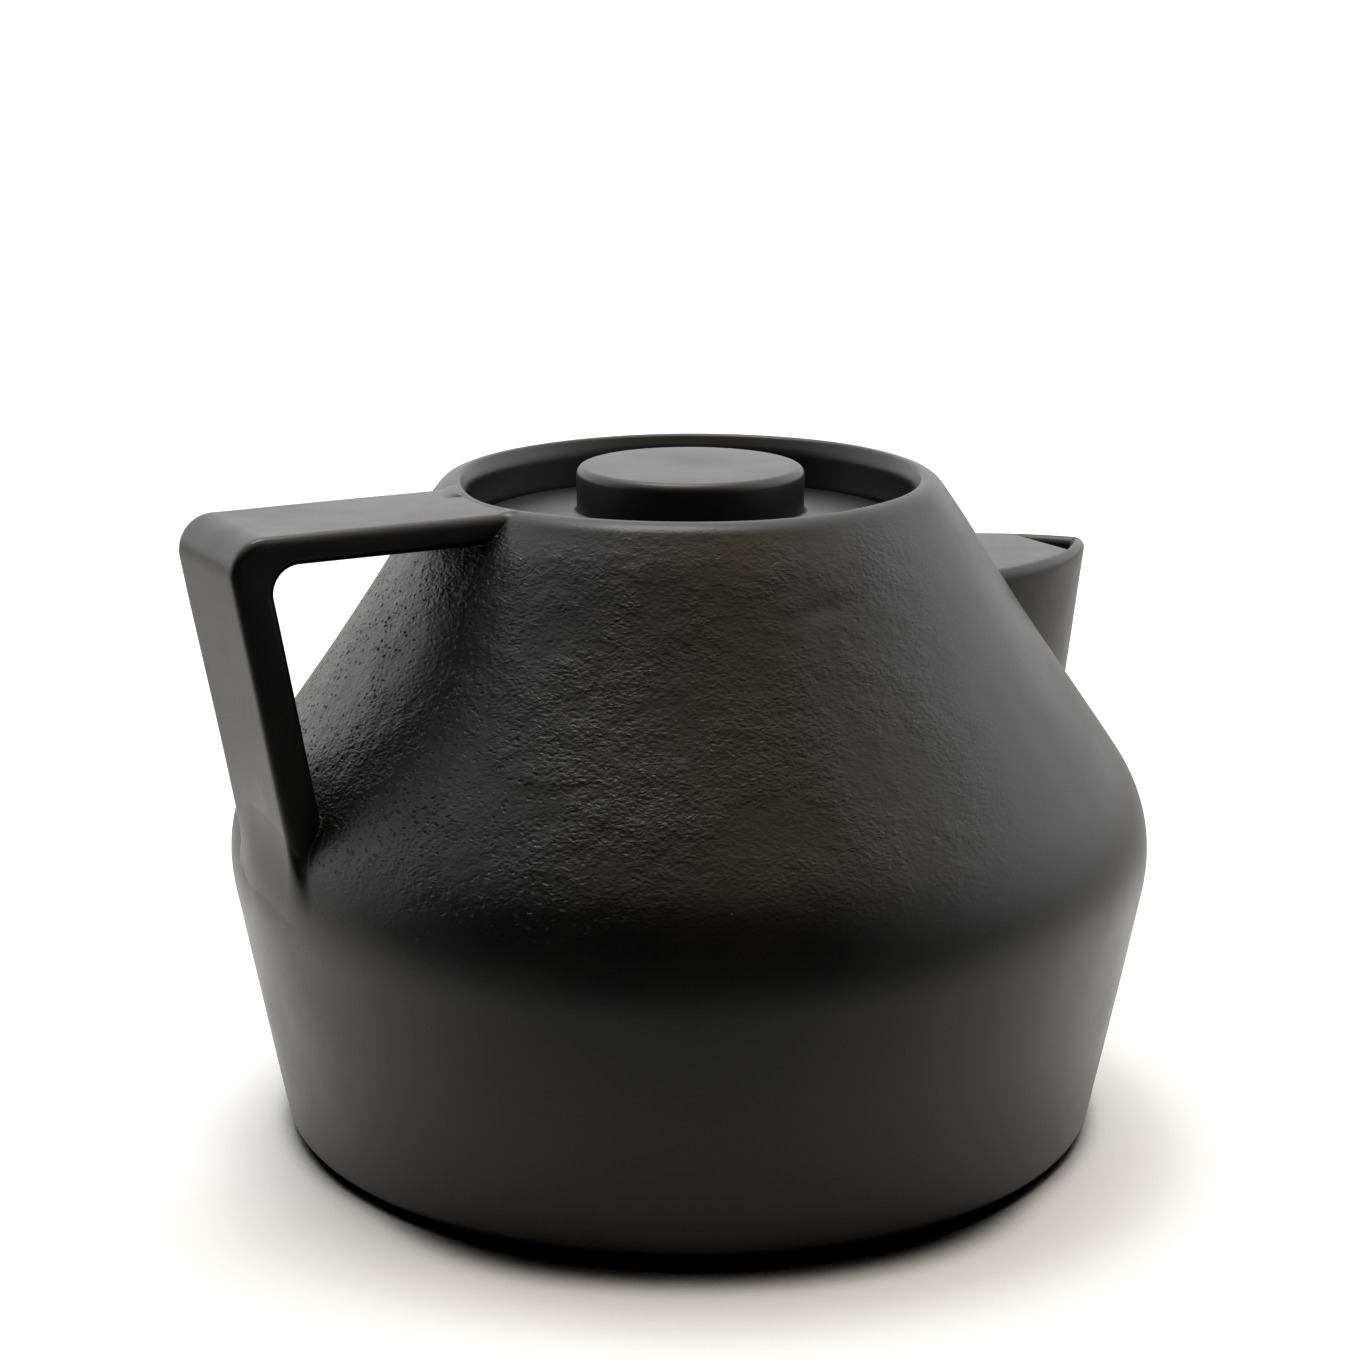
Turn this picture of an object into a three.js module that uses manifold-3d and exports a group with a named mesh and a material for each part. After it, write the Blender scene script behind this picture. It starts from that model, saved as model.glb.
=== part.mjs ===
// A ceramic teapot: a cone-shouldered pot with a strap handle, a pointed pouring beak and a sunken lid.
// Millimetres, +Z up. The origin is the middle of the foot, on the surface that the pot stands on.
// The beak points along +X and the handle along -X.
import * as THREE from "three";
import { mergeVertices } from "three/addons/utils/BufferGeometryUtils.js";
import Module from "manifold-3d";

// Foot: a low turned disc, set back under the pot
const footHeight = 1.6;
const footSetBack = 5;

// Pot wall: heights are above the foot, and the radii are where the straight walls would meet
const baseRadius = 71.4;
const baseRound = 2.5;
const shoulderRadius = 81.5;
const shoulderHeight = 54.2;
const shoulderRound = 26.6;
const rimRadius = 42.1;
const rimHeight = 112.7;
const rimRound = 3.9;
const coneHollow = 0.5; // the cone dips this far below a straight line
const wallThickness = 4.2;
const floorThickness = 5;
const floorRound = 6;

// Gallery: the throat under the rim and the ledge that carries the lid
const throatRadius = 38.2;
const throatRound = 1.2;
const ledgeWidth = 5;
const ledgeThickness = 4.5;
const ledgeSlope = 4; // the ledge's underside falls this far on its way to the wall

// Lid
const lidSink = 8.4; // the plate's edge lies this far below the rim
const lidThickness = 4;
const lidClearance = 0.7;
const lidEdgeRound = 1;
const lidRise = 1.6; // from the plate's edge up to the knob
const flangeClearance = 0.9;
const flangeDepth = 9;
const flangeThickness = 3.5;
const knobRadius = 19.5;
const knobProud = 1.1; // the knob stands this far above the rim
const knobRound = 1.5;
const knobDish = 0.5;
const seatGap = 0.2; // the unglazed ledge and the plate touch at high spots only

// Handle: a flat strap, a level arm and a raked upright
const handleDrop = 1.7; // the arm's top lies this far below the rim
const handleLanding = 7.8; // the strap's back meets the shoulder this far above the widest line
const handleWidth = 26;
const armThickness = 4.8;
const uprightThickness = 6.3;
const handleRake = 10; // degrees
const handleOuterRound = 5.8;
const handleInnerRound = 4.4;
const handleEdgeRound = 1.4;

// Spout: a beak with two curved sides that meet in a raked keel
const spoutHeight = 93.4;
const spoutLanding = 6; // the keel meets the shoulder this far above the widest line
const spoutWidth = 37.4;
const spoutTaper = 36.4; // the sides curve together over this length
const spoutWall = 2.6;
const spoutRake = 8; // degrees
const spoutNose = 3;
const spoutEdgeRound = 1.9;
const coverThickness = 2.8;
const mouthLength = 7.6; // from the cover's edge to the point inside the beak

// Strainer: holes through the wall behind the beak
const strainerHole = 4;
const strainerPitch = 5.6;
const strainerMargin = 0.8;
const holeSides = 12;

// Joints between clay pieces that are luted together
const lutingGap = 0.3;

const turnSteps = 72; // facets round the axis
const arcSag = 0.08; // a facet stays this close to its arc

const wasm = await Module();
wasm.setup();

// Solids for cutting and joining
function toSolid(geometry) {
  const bare = geometry.clone();
  bare.deleteAttribute("normal");
  bare.deleteAttribute("uv");
  const merged = mergeVertices(bare, 1e-4);
  return new wasm.Manifold(
    new wasm.Mesh({
      numProp: 3,
      vertProperties: merged.attributes.position.array,
      triVerts: new Uint32Array(merged.index.array),
    }),
  );
}

function toGeometry(solid) {
  const mesh = solid.getMesh();
  const geometry = new THREE.BufferGeometry();
  geometry.setAttribute("position", new THREE.BufferAttribute(mesh.vertProperties, 3));
  geometry.setIndex(new THREE.BufferAttribute(mesh.triVerts, 1));
  geometry.computeVertexNormals();
  return geometry;
}

// Profiles are points (distance from the axis, height)
const at = (r, z) => new THREE.Vector2(r, z);

function arcSteps(radius, turn) {
  const widest = 2 * Math.acos(1 - Math.min(arcSag / radius, 0.5));
  return Math.max(2, Math.ceil(Math.abs(turn) / widest));
}

function arc(centre, radius, from, to, steps = arcSteps(radius, to - from)) {
  return Array.from({ length: steps + 1 }, (_, i) => {
    const angle = from + ((to - from) * i) / steps;
    return at(centre.x + radius * Math.cos(angle), centre.y + radius * Math.sin(angle));
  });
}

// Where two lines meet, each given by a point and a direction
function crossing(p, along, q, beside) {
  const reach = q.clone().sub(p).cross(beside) / along.cross(beside);
  return p.clone().addScaledVector(along, reach);
}

// The arc that rounds the corner between two other points
function fillet(before, corner, after, round) {
  const back = before.clone().sub(corner).normalize();
  const ahead = after.clone().sub(corner).normalize();
  const half = Math.acos(THREE.MathUtils.clamp(back.dot(ahead), -1, 1)) / 2;
  const middle = back.clone().add(ahead).normalize();
  const centre = corner.clone().addScaledVector(middle, round / Math.sin(half));
  const tangent = round / Math.tan(half);
  const start = corner.clone().addScaledVector(back, tangent).sub(centre).angle();
  const end = corner.clone().addScaledVector(ahead, tangent).sub(centre).angle();
  const turn = THREE.MathUtils.euclideanModulo(end - start + Math.PI, 2 * Math.PI) - Math.PI;
  return arc(centre, round, start, start + turn);
}

// Points between two others on a line that dips to one side
function dipped(from, to, dip, steps = 4) {
  const side = to.clone().sub(from).normalize();
  side.set(-side.y, side.x);
  return Array.from({ length: steps - 1 }, (_, i) => {
    const t = (i + 1) / steps;
    return from.clone().lerp(to, t).addScaledVector(side, 4 * dip * t * (1 - t));
  });
}

function revolve(points) {
  const closed = points[0].x > 0 ? [...points, points[0]] : points;
  return new THREE.LatheGeometry(closed, turnSteps).rotateX(Math.PI / 2);
}

// The pot's outer line, and the same line pushed in by a depth
const base = at(baseRadius, footHeight);
const shoulder = at(shoulderRadius, footHeight + shoulderHeight);
const rim = at(rimRadius, footHeight + rimHeight);
const rimTop = rim.y;

const wallAlong = shoulder.clone().sub(base).normalize();
const coneAlong = rim.clone().sub(shoulder).normalize();
const wallOut = at(wallAlong.y, -wallAlong.x);
const coneOut = at(coneAlong.y, -coneAlong.x);
const wallAngle = Math.atan2(wallOut.y, wallOut.x);
const coneAngle = Math.atan2(coneOut.y, coneOut.x);
const shoulderCentre = crossing(
  base.clone().addScaledVector(wallOut, -shoulderRound),
  wallAlong,
  rim.clone().addScaledVector(coneOut, -shoulderRound),
  coneAlong,
);
const widestHeight = shoulderCentre.y;
const level = at(1, 0);

// Lower part of the wall, from the bottom up to the widest line
function lowerWall(depth, bottom, round) {
  const low = crossing(base.clone().addScaledVector(wallOut, -depth), wallAlong, at(0, bottom), level);
  const high = low.clone().add(wallAlong);
  return [
    ...fillet(at(0, bottom), low, high, round),
    ...arc(shoulderCentre, shoulderRound - depth, wallAngle, 0),
  ];
}

// Upper part of the wall, from the widest line up to a height, with the end's own corner left out
function upperWall(depth, top) {
  const start = arc(shoulderCentre, shoulderRound - depth, 0, coneAngle);
  const end = crossing(shoulder.clone().addScaledVector(coneOut, -depth), coneAlong, at(0, top), level);
  return { points: [...start, ...dipped(start.at(-1), end, coneHollow)], end };
}

// The pot's whole outer form, for fitting the handle and the beak to it
function envelope(gap) {
  const wall = upperWall(-gap, rimTop + gap);
  return toSolid(
    revolve([
      at(0, footHeight),
      ...lowerWall(-gap, footHeight, baseRound),
      ...wall.points.slice(1),
      wall.end,
      at(0, rimTop + gap),
    ]),
  );
}

// Foot
const footRadius = baseRadius - footSetBack;
function makeFoot() {
  return revolve([at(0, 0), at(footRadius, 0), at(footRadius, footHeight), at(0, footHeight)]);
}

// Bowl: floor and lower wall
const floorTop = footHeight + floorThickness;
function makeBowl() {
  const outside = lowerWall(0, footHeight, baseRound);
  const inside = lowerWall(wallThickness, floorTop, floorRound).reverse();
  return revolve([at(0, footHeight), ...outside, ...inside, at(0, floorTop)]);
}

// Cone: upper wall with the throat and the ledge
const plateTop = rimTop - lidSink;
const plateBottom = plateTop - lidThickness;
const ledgeTop = plateBottom - seatGap;
const ledgeBottom = ledgeTop - ledgeThickness;
const ledgeRadius = throatRadius - ledgeWidth;

function makeCone() {
  const outside = upperWall(0, rimTop);
  const lip = fillet(outside.points.at(-1), outside.end, at(throatRadius, rimTop), rimRound);
  const throat = [
    ...fillet(outside.end, at(throatRadius, rimTop), at(throatRadius, ledgeTop), throatRound),
    at(throatRadius, ledgeTop),
    at(ledgeRadius, ledgeTop),
    at(ledgeRadius, ledgeBottom),
  ];
  const inside = upperWall(wallThickness, ledgeBottom - ledgeSlope);
  const blank = toSolid(
    revolve([...outside.points, ...lip, ...throat, inside.end, ...inside.points.reverse()]),
  );
  return toGeometry(strainerHoles().reduce((wall, hole) => wall.subtract(hole), blank));
}

// The handle and the beak run down inside the pot's form to its widest line, before they are fitted to it.
// This is the point on the shoulder that lies so far above that line.
function shoulderPoint(rise) {
  return at(shoulderCentre.x + Math.sqrt(shoulderRound ** 2 - rise ** 2), widestHeight + rise);
}

// Outline of the beak seen from above at its top, pushed in by a depth
const spoutTop = footHeight + spoutHeight;
const beakRake = Math.tan(THREE.MathUtils.degToRad(spoutRake));
const keelEnd = shoulderPoint(spoutLanding);
const spoutReach = keelEnd.x + beakRake * (spoutTop - keelEnd.y);
const beakRadius = (spoutTaper ** 2 + (spoutWidth / 2) ** 2) / spoutWidth;
const beakOffset = beakRadius - spoutWidth / 2; // each side's arc is centred this far across
const beakStart = spoutReach - spoutTaper;
const leastNose = 0.2;
const noseSteps = 4;
const sideSteps = 8;

function beakOutline(depth, root = 0) {
  const side = beakRadius - depth;
  const nose = Math.max(spoutNose - depth, leastNose);
  const noseCentre = at(beakStart + Math.sqrt((side - nose) ** 2 - beakOffset ** 2), 0);
  const leave = Math.atan2(beakOffset, noseCentre.x - beakStart);
  const left = [
    ...arc(noseCentre, nose, 0, leave, noseSteps).slice(1),
    ...arc(at(beakStart, -beakOffset), side, leave, Math.PI / 2, sideSteps).slice(1),
    at(root, side - beakOffset),
  ];
  const right = left.map((p) => at(p.x, -p.y)).reverse();
  return [...right, at(noseCentre.x + nose, 0), ...left];
}

// A closed solid through outlines of equal length, lowest first, sheared along the keel's rake
function stack(layers) {
  const count = layers[0].outline.length;
  const vertices = [];
  for (const { outline, z } of layers) {
    for (const p of outline) {
      vertices.push(p.x - beakRake * (spoutTop - z), p.y, z);
    }
  }
  const faces = [];
  for (let k = 0; k + 1 < layers.length; k++) {
    for (let i = 0; i < count; i++) {
      const j = (i + 1) % count;
      const [a, b, c, d] = [k * count + i, k * count + j, (k + 1) * count + j, (k + 1) * count + i];
      faces.push(a, b, c, a, c, d);
    }
  }
  const lid = THREE.ShapeUtils.triangulateShape(layers[0].outline, []);
  const last = (layers.length - 1) * count;
  for (const [a, b, c] of lid) {
    faces.push(a, c, b, last + a, last + b, last + c);
  }
  const geometry = new THREE.BufferGeometry();
  geometry.setAttribute("position", new THREE.Float32BufferAttribute(vertices, 3));
  geometry.setIndex(faces);
  return geometry;
}

// Spout: the beak's two sides, open at the mouth
const pastFaces = 2; // cutters run this far past what they cut
function makeSpout() {
  const edge = [0, 30, 60, 90].map(THREE.MathUtils.degToRad).map((angle) => ({
    outline: beakOutline(spoutEdgeRound * (1 - Math.cos(angle))),
    z: spoutTop - spoutEdgeRound * (1 - Math.sin(angle)),
  }));
  const outside = toSolid(stack([{ outline: beakOutline(0), z: widestHeight }, ...edge]));
  const inside = toSolid(
    stack([
      { outline: beakOutline(spoutWall), z: widestHeight - pastFaces },
      { outline: beakOutline(spoutWall), z: spoutTop + pastFaces },
    ]),
  );
  return toGeometry(outside.subtract(inside).subtract(envelope(lutingGap)));
}

// Cover: the flat plate between the beak's sides, up to the mouth's straight edge
const insideTip = beakStart + Math.sqrt((beakRadius - spoutWall) ** 2 - beakOffset ** 2);
const mouthEdge = insideTip - mouthLength;
function makeCover() {
  const outline = beakOutline(spoutWall + lutingGap);
  const plate = toSolid(
    stack([
      { outline, z: spoutTop - coverThickness },
      { outline, z: spoutTop },
    ]),
  );
  const mouthBox = new THREE.BoxGeometry(spoutReach, 2 * spoutWidth, 2 * spoutTop);
  mouthBox.translate(mouthEdge + spoutReach / 2, 0, spoutTop);
  return toGeometry(plate.subtract(toSolid(mouthBox)).subtract(envelope(lutingGap)));
}

// Strainer holes: staggered rows inside the beak's footing, each drilled level through the wall
function strainerHoles() {
  const holes = [];
  const rowStep = (strainerPitch * Math.sqrt(3)) / 2;
  const clear = strainerHole / 2 + strainerMargin;
  const top = spoutTop - coverThickness - clear;
  for (let row = 0; top - row * rowStep > widestHeight + clear; row++) {
    const z = top - row * rowStep;
    const lowest = z - clear;
    const wall = crossing(shoulder, coneAlong, at(0, lowest), level).x;
    const behind = wall + beakRake * (spoutTop - lowest) - beakStart;
    const square = (beakRadius - spoutWall) ** 2 - Math.max(behind, 0) ** 2;
    const room = square > 0 ? Math.sqrt(square) - beakOffset - clear : -1;
    const shift = row % 2 ? strainerPitch / 2 : 0;
    const beside = Math.floor((room - shift) / strainerPitch);
    for (let y = -shift - beside * strainerPitch; y <= room; y += strainerPitch) {
      const hole = new THREE.CylinderGeometry(strainerHole / 2, strainerHole / 2, shoulderRadius, holeSides);
      hole.rotateZ(Math.PI / 2).translate((shoulderRadius + ledgeRadius) / 2, y, z);
      holes.push(toSolid(hole));
    }
  }
  return holes;
}

// Handle: the strap's side outline, given its width, with its ends fitted to the pot
function makeHandle() {
  const rake = Math.tan(THREE.MathUtils.degToRad(handleRake));
  const armTop = rimTop - handleDrop;
  const armBottom = armTop - armThickness;
  const inwards = uprightThickness / Math.cos(THREE.MathUtils.degToRad(handleRake));
  const strapEnd = shoulderPoint(handleLanding);
  const outer = (z) => at(strapEnd.x + rake * (z - strapEnd.y), z);
  const inner = (z) => at(outer(z).x - inwards, z);
  const root = rimRadius / 2;
  const outline = [
    at(root, armTop),
    at(root, armBottom),
    ...fillet(at(root, armBottom), inner(armBottom), inner(widestHeight), handleInnerRound),
    inner(widestHeight),
    outer(widestHeight),
    ...fillet(outer(widestHeight), outer(armTop), at(root, armTop), handleOuterRound),
  ];
  const strap = new THREE.ExtrudeGeometry(new THREE.Shape(outline), {
    depth: handleWidth - 2 * handleEdgeRound,
    bevelSize: handleEdgeRound,
    bevelThickness: handleEdgeRound,
    bevelOffset: -handleEdgeRound,
    bevelSegments: 3,
  });
  strap.rotateX(Math.PI / 2).rotateZ(Math.PI).translate(0, -handleWidth / 2 + handleEdgeRound, 0);
  return toGeometry(toSolid(strap).subtract(envelope(lutingGap)));
}

// Lid
const knobSeat = plateTop + lidRise;
function makePlate() {
  const radius = throatRadius - lidClearance;
  return revolve([
    at(0, plateBottom),
    ...fillet(at(0, plateBottom), at(radius, plateBottom), at(radius, plateTop), lidEdgeRound),
    ...fillet(at(radius, plateBottom), at(radius, plateTop), at(knobRadius, knobSeat), lidEdgeRound),
    at(knobRadius, knobSeat),
    at(0, knobSeat),
  ]);
}

function makeFlange() {
  const outer = ledgeRadius - flangeClearance;
  const inner = outer - flangeThickness;
  const low = plateBottom - flangeDepth;
  const round = flangeThickness / 3;
  return revolve([
    at(inner, plateBottom),
    ...fillet(at(inner, plateBottom), at(inner, low), at(outer, low), round),
    ...fillet(at(inner, low), at(outer, low), at(outer, plateBottom), round),
    at(outer, plateBottom),
  ]);
}

function makeKnob() {
  const top = rimTop + knobProud;
  const dishEdge = knobRadius - 2 * knobRound;
  const dish = [1, 2, 3].map((i) => at((dishEdge * (3 - i)) / 3, top - knobDish * (1 - (1 - i / 3) ** 2)));
  return revolve([
    at(0, knobSeat),
    at(knobRadius, knobSeat),
    ...fillet(at(knobRadius, knobSeat), at(knobRadius, top), at(0, top), knobRound),
    at(dishEdge, top),
    ...dish,
  ]);
}

// Finishes
const clay = (color, roughness) => new THREE.MeshStandardMaterial({ color, roughness, metalness: 0 });

function piece(name, geometry, material) {
  const mesh = new THREE.Mesh(geometry, material);
  mesh.name = name;
  return mesh;
}

const pot = new THREE.Group();
pot.add(
  piece("foot", makeFoot(), clay(0x1b1a19, 0.85)),
  piece("bowl", makeBowl(), clay(0x151515, 0.5)),
  piece("cone", makeCone(), clay(0x1a1918, 0.62)),
  piece("spout", makeSpout(), clay(0x181818, 0.5)),
  piece("spout_cover", makeCover(), clay(0x1a1a1a, 0.5)),
  piece("handle", makeHandle(), clay(0x181818, 0.5)),
);

const lid = new THREE.Group();
lid.add(
  piece("lid_plate", makePlate(), clay(0x1c1d1f, 0.5)),
  piece("lid_flange", makeFlange(), clay(0x1b1a19, 0.8)),
  piece("lid_knob", makeKnob(), clay(0x1c1c1c, 0.5)),
);

const teapot = new THREE.Group();
teapot.add(pot, lid);
export default teapot;
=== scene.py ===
from math import asin, cos, exp, pi, radians, sin, sqrt, tan
from random import Random

import bmesh
import bpy
from mathutils import Matrix, Vector, noise
from mathutils.bvhtree import BVHTree
from mathutils.geometry import interpolate_bezier


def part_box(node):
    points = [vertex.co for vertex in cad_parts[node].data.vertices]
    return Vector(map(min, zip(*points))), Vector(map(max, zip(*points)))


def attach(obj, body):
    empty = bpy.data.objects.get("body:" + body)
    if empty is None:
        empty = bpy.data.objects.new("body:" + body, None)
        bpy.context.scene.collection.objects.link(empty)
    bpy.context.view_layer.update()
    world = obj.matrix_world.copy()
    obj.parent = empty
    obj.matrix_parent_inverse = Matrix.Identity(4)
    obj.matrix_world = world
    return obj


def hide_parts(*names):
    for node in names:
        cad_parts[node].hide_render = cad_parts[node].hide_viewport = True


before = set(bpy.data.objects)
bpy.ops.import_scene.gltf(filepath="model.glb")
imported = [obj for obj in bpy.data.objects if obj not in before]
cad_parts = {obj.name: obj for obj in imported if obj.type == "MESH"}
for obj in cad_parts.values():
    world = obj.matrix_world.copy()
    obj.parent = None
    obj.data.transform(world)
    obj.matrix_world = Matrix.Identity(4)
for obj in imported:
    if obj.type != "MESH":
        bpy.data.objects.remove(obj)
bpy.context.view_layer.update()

# A black stoneware teapot. Shapes are drawn in millimetres and made metres when a piece is finished.
mm = 0.001
xAxis, yAxis, zAxis = Vector((1, 0, 0)), Vector((0, 1, 0)), Vector((0, 0, 1))


def boxOf(node):
    low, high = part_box(node)
    return Vector(low) / mm, Vector(high) / mm


footTop = boxOf("foot")[1].z
footRadius = boxOf("foot")[1].x
rimTop = boxOf("cone")[1].z
widestRadius = boxOf("bowl")[1].x
widestHeight = boxOf("bowl")[1].z
spoutTop = boxOf("spout")[1].z
coverBottom = boxOf("spout_cover")[0].z
mouthEdge = boxOf("spout_cover")[1].x
plateRadius = boxOf("lid_plate")[1].x
plateBottom = boxOf("lid_plate")[0].z
knobSeat = boxOf("lid_plate")[1].z
flangeRadius = boxOf("lid_flange")[1].x
flangeBottom = boxOf("lid_flange")[0].z
knobRadius = boxOf("lid_knob")[1].x
knobTop = boxOf("lid_knob")[1].z
print("frame loaded:", len(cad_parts), "nodes")

# The photograph's own viewpoint, solved on the pot's circles and edges
photoView = {
    "place": (-0.226932, -0.407674, 0.196637),  # metres
    "heading": -29.0,  # degrees round the pot
    "tilt": 75.556,  # degrees up from straight down
    "roll": 0.155,
    "lens": 72.53,  # mm
    "sensor": 36.0,  # mm wide
    "nearest": 0.01,  # metres
}


def placeCamera(view):
    lens = bpy.data.cameras.new("photoCamera")
    lens.sensor_width = view["sensor"]
    lens.lens = view["lens"]
    lens.clip_start = view["nearest"]
    camera = bpy.data.objects.new("photoCamera", lens)
    bpy.context.scene.collection.objects.link(camera)
    turn = Matrix.Rotation(radians(view["heading"]), 4, "Z")
    turn = turn @ Matrix.Rotation(radians(view["tilt"]), 4, "X")
    turn = turn @ Matrix.Rotation(radians(view["roll"]), 4, "Z")
    camera.matrix_world = Matrix.Translation(view["place"]) @ turn
    bpy.context.scene.camera = camera


placeCamera(photoView)
print("camera placed")

# Drawing outlines: a chain of edges, straight or turned
arcStep = radians(3)


def lineTo(bm, last, spot, steps=1):
    start = last.co.copy()
    for i in range(steps):
        last = bmesh.ops.extrude_vert_indiv(bm, verts=[last])["verts"][0]
        last.co = start.lerp(spot, (i + 1) / steps)
    return last


def arcTo(bm, last, centre, axis, angle):
    steps = max(2, round(abs(angle) / arcStep))
    made = bmesh.ops.spin(
        bm,
        geom=[last],
        cent=centre,
        axis=axis,
        angle=angle,
        steps=steps,
        use_merge=False,
        use_duplicate=False,
    )
    return made["geom_last"][0]


def drawOutline(bm, corners, across=xAxis, up=zAxis):
    # Each corner: across, up, its rounding, and the steps of the straight that leads to it
    spots = [across * corner[0] + up * corner[1] for corner in corners]
    facing = across.cross(up)
    last = bm.verts.new(spots[0])
    for before, spot, after, corner in zip(spots, spots[1:], spots[2:], corners[1:]):
        rounding, steps = corner[2:]
        coming, going = (spot - before).normalized(), (after - spot).normalized()
        side = 1 if coming.cross(going).dot(facing) > 0 else -1
        turn = coming.angle(going)
        last = lineTo(bm, last, spot - coming * rounding * tan(turn / 2), steps)
        if rounding:
            centre = last.co + facing.cross(coming) * side * rounding
            last = arcTo(bm, last, centre, facing, turn * side)
    return lineTo(bm, last, spots[-1], corners[-1][3])


def outlineSpots(corners, across, up):
    bm = bmesh.new()
    drawOutline(bm, corners, across, up)
    spots = [v.co.copy() for v in bm.verts]
    bm.free()
    return spots


# Working on a solid
def turnOnWheel(bm, steps):
    bmesh.ops.spin(
        bm,
        geom=bm.verts[:] + bm.edges[:],
        cent=(0, 0, 0),
        axis=(0, 0, 1),
        angle=2 * pi,
        steps=steps,
        use_merge=True,
        use_duplicate=False,
    )
    bmesh.ops.remove_doubles(bm, verts=bm.verts, dist=0.001)
    bmesh.ops.recalc_face_normals(bm, faces=bm.faces)


def sliceAcross(bm, axis, spacing):
    reach = [v.co.dot(axis) for v in bm.verts]
    low, high = min(reach), max(reach)
    cuts = int((high - low) / spacing)
    for i in range(1, cuts):
        spot = axis * (low + (high - low) * i / cuts)
        geom = bm.verts[:] + bm.edges[:] + bm.faces[:]
        bmesh.ops.bisect_plane(bm, geom=geom, dist=0.001, plane_co=spot, plane_no=axis)


def pullOut(bm, way):
    made = bmesh.ops.extrude_face_region(bm, geom=bm.faces)["geom"]
    moved = [part for part in made if isinstance(part, bmesh.types.BMVert)]
    bmesh.ops.translate(bm, vec=way, verts=moved)
    bmesh.ops.recalc_face_normals(bm, faces=bm.faces)


def roundEdges(bm, edges, form):
    bmesh.ops.bevel(
        bm,
        geom=edges,
        offset=form["edgeRound"],
        offset_type="OFFSET",
        affect="EDGES",
        segments=form["edgeSteps"],
        profile=0.5,
        material=-1,
        clamp_overlap=False,
    )


def meshObject(name, bm):
    mesh = bpy.data.meshes.new(name)
    bm.to_mesh(mesh)
    piece = bpy.data.objects.new(name, mesh)
    bpy.context.scene.collection.objects.link(piece)
    return piece


def cutAway(bm, cutter):
    body, tool = meshObject("clayBody", bm), meshObject("clayTool", cutter)
    cut = body.modifiers.new("cut", "BOOLEAN")
    cut.operation = "DIFFERENCE"
    cut.solver = "EXACT"
    cut.object = tool
    shown = body.evaluated_get(bpy.context.evaluated_depsgraph_get())
    bm.clear()
    bm.from_mesh(shown.to_mesh())
    shown.to_mesh_clear()
    for used in (body, tool):
        mesh = used.data
        bpy.data.objects.remove(used)
        bpy.data.meshes.remove(mesh)


# The clay settles a little from its true form, the same way in every piece of the pot
handWork = {
    "seed": 7,  # of the noise, so that every run makes the same pot
    "settle": 0.17,  # mm
    "spread": 30.0,  # mm from one hollow to the next
    "fingerMark": 0.035,  # mm
    "fingerSpread": 10.0,
    "firmFoot": 12.0,  # mm above the foot, where the settling reaches its full share
    "sharpEdge": 35.0,  # degrees
}
noise.seed_set(handWork["seed"])


def settleClay(bm):
    for v in bm.verts:
        lifted = min(max((v.co.z - footTop) / handWork["firmFoot"], 0), 1)
        broad = noise.noise_vector(v.co / handWork["spread"]) * handWork["settle"]
        fine = noise.noise_vector(v.co / handWork["fingerSpread"]) * handWork["fingerMark"]
        v.co += (broad + fine) * lifted


def finishPiece(name, bm, body, slot, nodes, settled=True):
    if settled:
        settleClay(bm)
    bmesh.ops.scale(bm, vec=(mm, mm, mm), verts=bm.verts)
    for face in bm.faces:
        face.smooth = True
    for edge in bm.edges:
        edge.smooth = len(edge.link_faces) == 2 and edge.calc_face_angle(0) < radians(handWork["sharpEdge"])
    piece = meshObject(name, bm)
    bm.free()
    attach(piece, body)
    if nodes:
        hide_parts(*nodes)
    print(name, len(piece.data.polygons), "faces")
    return piece, slot


# Pot wall
potForm = {
    "baseRadius": 71.4,
    "baseRound": 2.5,
    "shoulderRadius": 81.5,  # where the straight walls would meet
    "shoulderRise": 54.2,
    "shoulderRound": 26.6,
    "rimRadius": 42.1,
    "rimRound": 4.0,
    "coneHollow": 0.5,
    "wall": 4.2,
    "floor": 5.0,
    "floorRound": 6.0,
    "throatRadius": 38.2,
    "throatRound": 0.9,
    "throatBevel": (1.3, 2.4),  # across and down
    "throatEase": 3.5,
    "ledgeWidth": 5.0,
    "ledgeThickness": 4.5,
    "ledgeSlope": 4.0,
    "ledgeRound": 0.8,
    "seatGap": 0.2,
    "turnSteps": 240,
    "skin": 2.0,  # mm, so deep under the surface the luted pieces are cut off
}
base = Vector((potForm["baseRadius"], footTop))
shoulder = Vector((potForm["shoulderRadius"], footTop + potForm["shoulderRise"]))
rim = Vector((potForm["rimRadius"], rimTop))
underside, overRim = Vector((0, footTop)), Vector((0, rimTop))


def pushedIn(before, corner, after, depth):
    left = (corner - before).normalized().orthogonal()
    nextLeft = (after - corner).normalized().orthogonal()
    return corner + (left + nextLeft) * depth / (1 + left.dot(nextLeft))


def alongTo(start, toward, height):
    return start.lerp(toward, (height - start.y) / (toward.y - start.y))


def hollowCone(bm, form):
    along = rim - shoulder
    wallTurn = (shoulder - base).angle(along)
    rimTurn = along.angle(overRim - rim)
    low = form["shoulderRound"] * tan(wallTurn / 2)
    high = along.length - form["rimRound"] * tan(rimTurn / 2)
    along.normalize()
    inward = along.orthogonal()
    for v in bm.verts:
        spot = Vector((v.co.x, v.co.z)) - shoulder
        way = spot.dot(along)
        if abs(spot.dot(inward)) < 0.001 and low < way < high:
            dip = inward * form["coneHollow"] * sin(pi * (way - low) / (high - low)) ** 2
            v.co += Vector((dip.x, 0, dip.y))


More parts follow.
